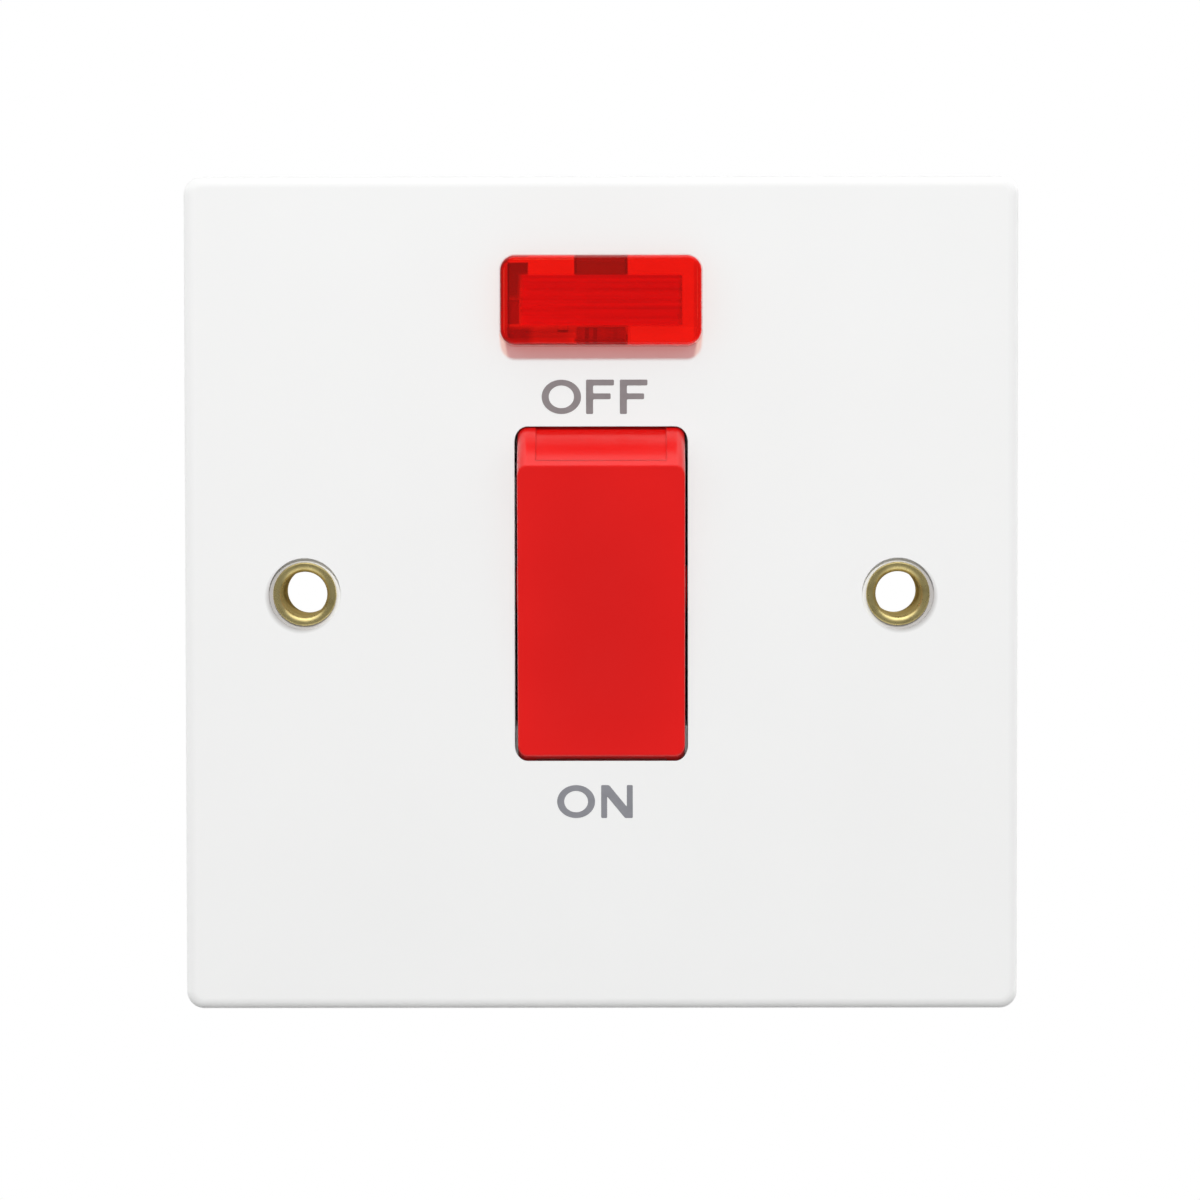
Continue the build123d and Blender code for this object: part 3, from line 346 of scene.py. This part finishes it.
def clear(name, colour, rough, ior):
    """Clear plastic or glass, and the veil that soft light and shadows see in its place."""
    mat = material(name, Transmission_Weight=1.0, Base_Color=(*colour, 1.0), IOR=ior)
    gloss(mat, grain(mat, CLEAR_PATCH, detail=3.0), *rough)
    relief(mat, grain(mat, CLEAR_WAVE), CLEAR_WAVE_HEIGHT)
    tree = mat.node_tree
    veil = tree.nodes.new("ShaderNodeBsdfTransparent")
    path = tree.nodes.new("ShaderNodeLightPath")
    light = combine(tree, "MAXIMUM", path.outputs["Is Shadow Ray"], path.outputs["Is Diffuse Ray"])
    show(mat, blend(tree, light, shader_of(mat).outputs["BSDF"], veil.outputs["BSDF"]))
    return mat, veil


def dress(mat, *names):
    """Gives the material to CAD nodes."""
    for name in names:
        mesh = nodes[name].data
        mesh.materials.clear()
        mesh.materials.append(mat)


def both(*stems):
    """The live and neutral names of each stem."""
    return [f"{stem}_{pole}" for stem in stems for pole in ("live", "neutral")]


# Mouldings


def paint_eyelet_shade(mat):
    """Painted shade: soft grey in the recesses around the eyelets, standing for their shadow."""
    tree = mat.node_tree
    place = tree.nodes.new("ShaderNodeTexCoord")
    shades = []
    for x, z in EYELET_SHADES:
        reach = tree.nodes.new("ShaderNodeVectorMath")
        reach.operation = "DISTANCE"
        reach.inputs[1].default_value = (x * MM, FACE_Y * MM, z * MM)
        tree.links.new(place.outputs["Object"], reach.inputs[0])
        distance = reach.outputs["Value"]
        shades.append(spread(tree, distance, 1.0, 0.0, SHADE_NEAR * MM, SHADE_FAR * MM))
    overlay(mat, combine(tree, "MAXIMUM", *shades), PAINTED_SHADE_GREY)


def dress_plate():
    """White plate, with painted shade around its eyelets."""
    plate = moulded(
        "plate_white",
        low=(0.882, 0.883, 0.879),
        high=(0.894, 0.895, 0.891),
        rough=(0.30, 0.38),
        edge=0.1,
        Specular_IOR_Level=0.2,
    )
    paint_eyelet_shade(plate)
    dress(plate, "front_plate")


def dress_rocker():
    """Glossy red rocker with a painted shade mid-face, that throws little red on the plate beside it.
    """
    rocker = moulded(
        "rocker_red",
        low=(0.775, 0.0027, 0.0019),
        high=(0.850, 0.0040, 0.0029),
        rough=(0.30, 0.37),
        patch=6.0,
        pore=0.25,
        edge=0.22,
        Specular_IOR_Level=0.5,
        Coat_Weight=0.35,
        Coat_Roughness=0.16,
    )
    tree = rocker.node_tree
    # Painted shade: a deeper red over the middle of the face, fading out to its edges
    overlay(rocker, patch_of(tree, ROCKER_FACE, fade=0.0), PAINTED_FACE_SHADE)
    path = tree.nodes.new("ShaderNodeLightPath")
    overlay(rocker, path.outputs["Is Diffuse Ray"], BOUNCE_RED)
    dress(rocker, "rocker")


def dress_inner_mouldings():
    """Base, frame and tray, the plungers and the lamp's sleeved leads."""
    base = moulded(
        "base_moulding",
        low=(0.775, 0.772, 0.750),
        high=(0.815, 0.812, 0.792),
        rough=(0.46, 0.58),
        pore=0.3,
        pore_height=0.008,
        edge=0.2,
    )
    dress(base, "switch_base", "retaining_frame", "neon_tray")
    nylon = moulded(
        "plunger_nylon",
        low=(0.78, 0.75, 0.67),
        high=(0.84, 0.82, 0.75),
        rough=(0.38, 0.5),
        patch=1.5,
        pore=0.15,
        edge=0.08,
    )
    dress(nylon, *both("plunger"))
    sleeve = moulded(
        "lead_sleeve",
        low=(0.74, 0.74, 0.72),
        high=(0.80, 0.80, 0.78),
        rough=(0.4, 0.52),
        patch=2.0,
        pore=0.2,
        edge=0.0,
    )
    dress(sleeve, *both("neon_lead"))


# Metals


def dress_eyelets():
    """Tarnished brass sheet, bright at the flare, and painted dark and dull down the bore as shade.
    """
    brass = material("eyelet_brass", Specular_IOR_Level=0.0)
    tree = brass.node_tree
    # Painted shade: darker, less metallic brass deeper down the bore, mixed with tarnish grain
    depth = spread(tree, axes(tree)["Y"], 0.0, 1.0, BORE_START * MM, BORE_END * MM)
    tarnish = combine(tree, "SUBTRACT", grain(brass, size=1.6, detail=4.0), depth)
    tint(brass, tarnish, TARNISH_AND_BORE_SHADE, FLARE_BRASS, start=0.0, end=0.52)
    tree.links.new(spread(tree, depth, FLARE_METALLIC, 0.0), shader_of(brass).inputs["Metallic"])
    gloss(brass, grain(brass, size=0.5, detail=3.0), low=0.22, high=0.38)
    relief(brass, grain(brass, size=0.25, detail=3.0), height=0.006, edge=0.05)
    dress(brass, "fixing_eyelet_left", "fixing_eyelet_right")


def dress_conductors():
    """Brass terminals, copper arms, silver contacts and the lamp's wires."""
    brass = worked_metal(
        "terminal_brass",
        low=(0.62, 0.46, 0.20),
        high=(0.76, 0.59, 0.30),
        rough=(0.22, 0.36),
        lines=0.14,
        stretch=(0.12, 1.0, 1.0),
        edge=0.15,
    )
    dress(brass, "earth_terminal", *both("load_terminal", "supply_terminal"))
    copper = worked_metal(
        "arm_copper",
        low=(0.66, 0.36, 0.22),
        high=(0.80, 0.47, 0.31),
        rough=(0.24, 0.38),
        lines=0.1,
        stretch=(1.0, 1.0, 0.12),
        edge=0.08,
    )
    dress(copper, *both("contact_arm"))
    silver = worked_metal(
        "contact_silver",
        low=(0.70, 0.69, 0.66),
        high=(0.88, 0.87, 0.84),
        rough=(0.20, 0.34),
        lines=0.08,
        stretch=(1.0, 1.0, 1.0),
        edge=0.06,
    )
    dress(silver, *both("fixed_contact", "moving_contact"))
    wire = worked_metal(
        "wire_metal",
        low=(0.58, 0.57, 0.56),
        high=(0.72, 0.71, 0.70),
        rough=(0.24, 0.40),
        lines=0.08,
        stretch=(0.2, 1.0, 1.0),
        edge=0.0,
    )
    dress(wire, "neon_electrodes", "resistor_link")


def dress_steel():
    """Plated screws and bright springs."""
    zinc = worked_metal(
        "screw_steel",
        low=(0.56, 0.57, 0.60),
        high=(0.70, 0.70, 0.68),
        rough=(0.24, 0.42),
        lines=0.1,
        stretch=(1.0, 0.3, 1.0),
        edge=0.08,
    )
    dress(zinc, "base_screws", "earth_screw", *both("load_screw", "supply_screw"))
    spring = worked_metal(
        "spring_steel",
        low=(0.46, 0.46, 0.48),
        high=(0.60, 0.60, 0.61),
        rough=(0.22, 0.34),
        lines=0.06,
        stretch=(1.0, 1.0, 1.0),
        edge=0.0,
    )
    dress(spring, *both("plunger_spring"))


# Lamp


def lens_haze(mat):
    """Clouds the lens in its ribbed window, at its legs and in one corner."""
    tree = mat.node_tree
    streaks = grain(mat, STREAK_SIZE, stretch=STREAK_STRETCH)
    streaks = spread(tree, streaks, *WINDOW_HAZE, start=0.3, end=0.7)
    cloud = combine(tree, "MULTIPLY", patch_of(tree, WINDOW), streaks)
    for place, haze in ((LEGS, LEG_HAZE), (BRIGHT_CORNER, CORNER_HAZE)):
        cloud = combine(tree, "MAXIMUM", cloud, patch_of(tree, place, haze))
    clearness = spread(tree, cloud, LENS_CLEAR, 0.0, 0.0, LENS_CLEAR)
    tree.links.new(clearness, shader_of(mat).inputs["Transmission Weight"])


def lens_veil(mat, veil):
    """Colours the light that passes the lens at its foot, in its window and elsewhere."""
    tree = mat.node_tree
    above_foot = spread(tree, axes(tree)["Z"], 0.0, 1.0, FOOT_START * MM, FOOT_END * MM)
    zone = combine(tree, "SUBTRACT", above_foot, patch_of(tree, WINDOW, strength=0.5))
    foot, window, rest = PASSED_COLOURS
    passed = ramp(tree, zone, ((0.0, foot), (0.5, window), (1.0, rest)))
    tree.links.new(passed, veil.inputs["Color"])


def lens_reds_and_shade(mat):
    """A deeper red in the ribbed window, and painted shade where the lens looks dark."""
    overlay(mat, patch_of(mat.node_tree, WINDOW), WINDOW_RED)
    # Painted shade: dark red laid over the places where the lens looks dark
    for place, strength, fade in PAINTED_SHADE_PLACES:
        overlay(mat, patch_of(mat.node_tree, place, strength, fade), PAINTED_SHADE_RED)


def dress_lens():
    """Red clear plastic."""
    lens, veil = clear("lens_red", LENS_RED, rough=(0.03, 0.07), ior=1.49)
    lens_haze(lens)
    lens_veil(lens, veil)
    lens_reds_and_shade(lens)
    dress(lens, "neon_lens")


def dress_bulb():
    """Clear glass."""
    glass, veil = clear("lamp_glass", (0.97, 0.98, 0.98), rough=(0.01, 0.04), ior=1.5)
    veil.inputs["Color"].default_value = (0.95, 0.95, 0.95, 1.0)
    dress(glass, "neon_glass")


def dress_resistor():
    """A lacquered body with coloured rings along its longest side."""
    node = "ballast_resistor"
    body = material("resistor_body")
    tree = body.node_tree
    low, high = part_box(node)
    size = high - low
    axis = max(range(3), key=lambda i: size[i])
    along = spread(tree, axes(tree)[axis], 0.0, 1.0, low[axis], high[axis])
    stops = [(0.0, RESISTOR_BODY)]
    for start, end, colour in RESISTOR_RINGS:
        stops += [(start, colour), (end, RESISTOR_BODY)]
    tree.links.new(ramp(tree, along, stops, "CONSTANT"), shader_of(body).inputs["Base Color"])
    gloss(body, grain(body, size=0.8, detail=3.0), low=0.25, high=0.4)
    relief(body, grain(body, size=0.3), height=0.004)
    dress(body, node)


# Springs


def pressed_spring(pole):
    """A plunger's spring, as a copied piece that rides on the rocker in place of the part's own."""
    node = f"plunger_spring_{pole}"
    piece = add(f"coil_{pole}", nodes[node].data.copy())
    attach(piece, "rocker")
    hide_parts(node)
    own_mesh(piece)


# Lettering


def ring_shape(mesh, left, width, middle, height):
    """The faces of an O."""
    loops = []
    hole = (width - 2 * STROKE_ACROSS, height - 2 * STROKE_ALONG)
    for across, up in ((width, height), hole):
        loop = []
        for step in range(RING_STEPS):
            turn = 2 * math.pi * step / RING_STEPS
            x = left + width / 2 + across / 2 * math.cos(turn)
            loop.append(mesh.verts.new((x, FACE_Y, middle + up / 2 * math.sin(turn))))
        loops.append(loop)
    outer, inner = loops
    for step in range(RING_STEPS):
        after = (step + 1) % RING_STEPS
        mesh.faces.new((outer[step], outer[after], inner[after], inner[step]))


def outline_shape(mesh, points):
    """One face with slightly rounded corners, from points (x, z)."""
    verts = [mesh.verts.new((x, FACE_Y, z)) for x, z in points]
    mesh.faces.new(verts)
    bmesh.ops.bevel(
        mesh,
        geom=verts,
        offset=INK_CORNER,
        segments=CORNER_STEPS,
        profile=0.5,
        affect="VERTICES",
        clamp_overlap=True,
    )


def eff_shape(mesh, left, width, middle, height):
    """The face of an F."""
    top, foot = middle + height / 2, middle - height / 2
    stem = left + STROKE_ACROSS
    arm, arm_end = middle + EFF_ARM_RISE + STROKE_ALONG / 2, left + EFF_ARM_SHARE * width
    points = (
        (left, foot),
        (stem, foot),
        (stem, arm - STROKE_ALONG),
        (arm_end, arm - STROKE_ALONG),
        (arm_end, arm),
        (stem, arm),
        (stem, top - STROKE_ALONG),
        (left + width, top - STROKE_ALONG),
        (left + width, top),
        (left, top),
    )
    outline_shape(mesh, points)


def en_shape(mesh, left, width, middle, height):
    """The face of an N."""
    top, foot = middle + height / 2, middle - height / 2
    right = left + width
    points = (
        (left, foot),
        (left + EN_STEM, foot),
        (left + EN_STEM, top - EN_NOTCH),
        (right - EN_SLANT, foot),
        (right, foot),
        (right, top),
        (right - EN_STEM, top),
        (right - EN_STEM, foot + EN_NOTCH),
        (left + EN_SLANT, top),
        (left, top),
    )
    outline_shape(mesh, points)


def lettering(name, line, low, high):
    """One printed word as a thin piece on the plate's face."""
    shapes = {"ring": ring_shape, "eff": eff_shape, "en": en_shape}
    middle, height, letters = line
    mesh = bmesh.new()
    for shape, left, width in letters:
        shapes[shape](mesh, left, width, middle, height)
    raised = bmesh.ops.extrude_face_region(mesh, geom=mesh.faces[:])
    tops = [part for part in raised["geom"] if isinstance(part, bmesh.types.BMVert)]
    bmesh.ops.translate(mesh, verts=tops, vec=(0, -INK_DEPTH, 0))
    bmesh.ops.recalc_face_normals(mesh, faces=mesh.faces[:])
    bmesh.ops.triangulate(mesh, faces=[face for face in mesh.faces if len(face.verts) > 4])
    bmesh.ops.scale(mesh, vec=(MM, MM, MM), verts=mesh.verts[:])
    word = add(name, mesh_data(name, mesh))
    ink = moulded(
        name + "_ink", low, high, rough=(0.45, 0.6), patch=0.5, pore=0.08, pore_height=0.001, edge=0.0
    )
    word.data.materials.append(ink)
    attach(word, "housing")


# Studio


def lamp(name, place, size, power):
    """A soft square lamp, facing the origin, that neither the camera nor glass sees."""
    data = bpy.data.lights.new(name, "AREA")
    data.shape = "RECTANGLE"
    data.size = data.size_y = size
    data.energy = power
    light = add(name, data)
    light.location = place
    light.rotation_mode = "QUATERNION"
    origin = Vector((0.0, 0.0, 0.0))
    light.rotation_quaternion = (origin - Vector(place)).to_track_quat("-Z", "Y")
    light.visible_camera = False
    light.visible_transmission = False
    return light


def studio_lamps():
    """A key lamp from above the camera, without a glint, and a fill for the back."""
    key = lamp("key", KEY_PLACE, KEY_SIZE, KEY_POWER)
    key.visible_glossy = False
    lamp("back_fill", BACK_PLACE, BACK_SIZE, BACK_POWER)


def background(tree, strength=None):
    """A white surround, of strength one where none is given."""
    node = tree.nodes.new("ShaderNodeBackground")
    node.inputs["Color"].default_value = WHITE
    if strength is not None:
        tree.links.new(strength, node.inputs["Strength"])
    return node.outputs["Background"]


def soft_light(tree, across, depth, height):
    """Light on surfaces: even in front, strong behind both sides, less from below and high up."""
    sides = combine(tree, "MULTIPLY", across, across)
    rim = combine(tree, "MULTIPLY", spread(tree, depth, *SIDES_BEHIND), sides)
    low, high = spread(tree, height, *LESS_BELOW), spread(tree, height, *LESS_ABOVE)
    lift = combine(tree, "MULTIPLY", low, high)
    return combine(tree, "MULTIPLY", spread(tree, rim, *SOFT_LEVEL), lift)


def seen_light(tree, depth, height):
    """What gloss and glass see: a white backdrop, bright above and below, and a dim room in front."""
    above, below = spread(tree, height, *SEEN_ABOVE), spread(tree, height, *SEEN_BELOW)
    boxes = combine(tree, "MAXIMUM", above, below)
    return combine(tree, "MAXIMUM", spread(tree, depth, *SEEN_BACKDROP), boxes)


def studio_world():
    """Soft light for surfaces, a studio for gloss and glass, and plain white for the camera."""
    world = bpy.data.worlds.new("studio")
    bpy.context.scene.world = world
    world.use_nodes = True
    tree = world.node_tree
    tree.nodes.clear()
    across, depth, height = axes(tree, "Generated")
    soft = background(tree, soft_light(tree, across, depth, height))
    seen = background(tree, seen_light(tree, depth, height))
    path = tree.nodes.new("ShaderNodeLightPath")
    glossy, passed = path.outputs["Is Glossy Ray"], path.outputs["Is Transmission Ray"]
    room = blend(tree, combine(tree, "MAXIMUM", glossy, passed), soft, seen)
    view = blend(tree, path.outputs["Is Camera Ray"], room, background(tree))
    output = tree.nodes.new("ShaderNodeOutputWorld")
    tree.links.new(view, output.inputs["Surface"])


def floor_material():
    """A pale floor that the camera sees fading into the white backdrop."""
    mat = material("floor_pale", Roughness=0.7)
    tint(mat, grain(mat, FLOOR_GRAIN, detail=4.0), FLOOR_DARK, FLOOR_PALE)
    tree = mat.node_tree
    place = tree.nodes.new("ShaderNodeTexCoord")
    reach = tree.nodes.new("ShaderNodeVectorMath")
    reach.operation = "LENGTH"
    tree.links.new(place.outputs["Object"], reach.inputs[0])
    start, end = FADE_START * FLOOR_RADIUS, FADE_END * FLOOR_RADIUS
    fade = spread(tree, reach.outputs["Value"], 0.0, 1.0, start, end)
    path = tree.nodes.new("ShaderNodeLightPath")
    factor = combine(tree, "MULTIPLY", path.outputs["Is Camera Ray"], fade)
    white = tree.nodes.new("ShaderNodeEmission")
    show(mat, blend(tree, factor, shader_of(mat).outputs["BSDF"], white.outputs["Emission"]))
    return mat


def studio_floor():
    """A round floor below the part."""
    mesh = bmesh.new()
    bmesh.ops.create_circle(mesh, cap_ends=True, segments=FLOOR_STEPS, radius=FLOOR_RADIUS)
    floor = add("floor", mesh_data("floor", mesh))
    floor.data.materials.append(floor_material())
    floor.location = (0.0, 0.0, FLOOR_HEIGHT)


def studio_camera():
    """The photograph's view: nearly square on, from a little above."""
    yaw, pitch, roll = (math.radians(angle) for angle in (YAW, PITCH, ROLL))
    forward = Vector(
        (-math.sin(yaw) * math.cos(pitch), math.cos(yaw) * math.cos(pitch), -math.sin(pitch))
    )
    level = forward.cross(Vector((0.0, 0.0, 1.0))).normalized()
    above = level.cross(forward)
    right = level * math.cos(roll) + above * math.sin(roll)
    up = above * math.cos(roll) - level * math.sin(roll)
    data = bpy.data.cameras.new("camera")
    data.sensor_width = SENSOR
    data.lens = FOCAL_PIXELS / IMAGE_SIZE * SENSOR
    data.clip_start = CLIP_START
    camera = add("camera", data)
    turn = Matrix((right, up, -forward)).transposed().to_4x4()
    stand = (Vector(AIM) - forward * CAMERA_DISTANCE) * MM
    camera.matrix_world = Matrix.Translation(stand) @ turn
    bpy.context.scene.camera = camera


dress_plate()
dress_rocker()
dress_inner_mouldings()
dress_eyelets()
dress_conductors()
dress_steel()
dress_lens()
dress_bulb()
dress_resistor()
pressed_spring("live")
pressed_spring("neutral")
lettering("label_off", OFF_LINE, *OFF_INK)
lettering("label_on", ON_LINE, *ON_INK)
studio_lamps()
studio_world()
studio_floor()
studio_camera()
bpy.context.scene.view_settings.view_transform = "Standard"
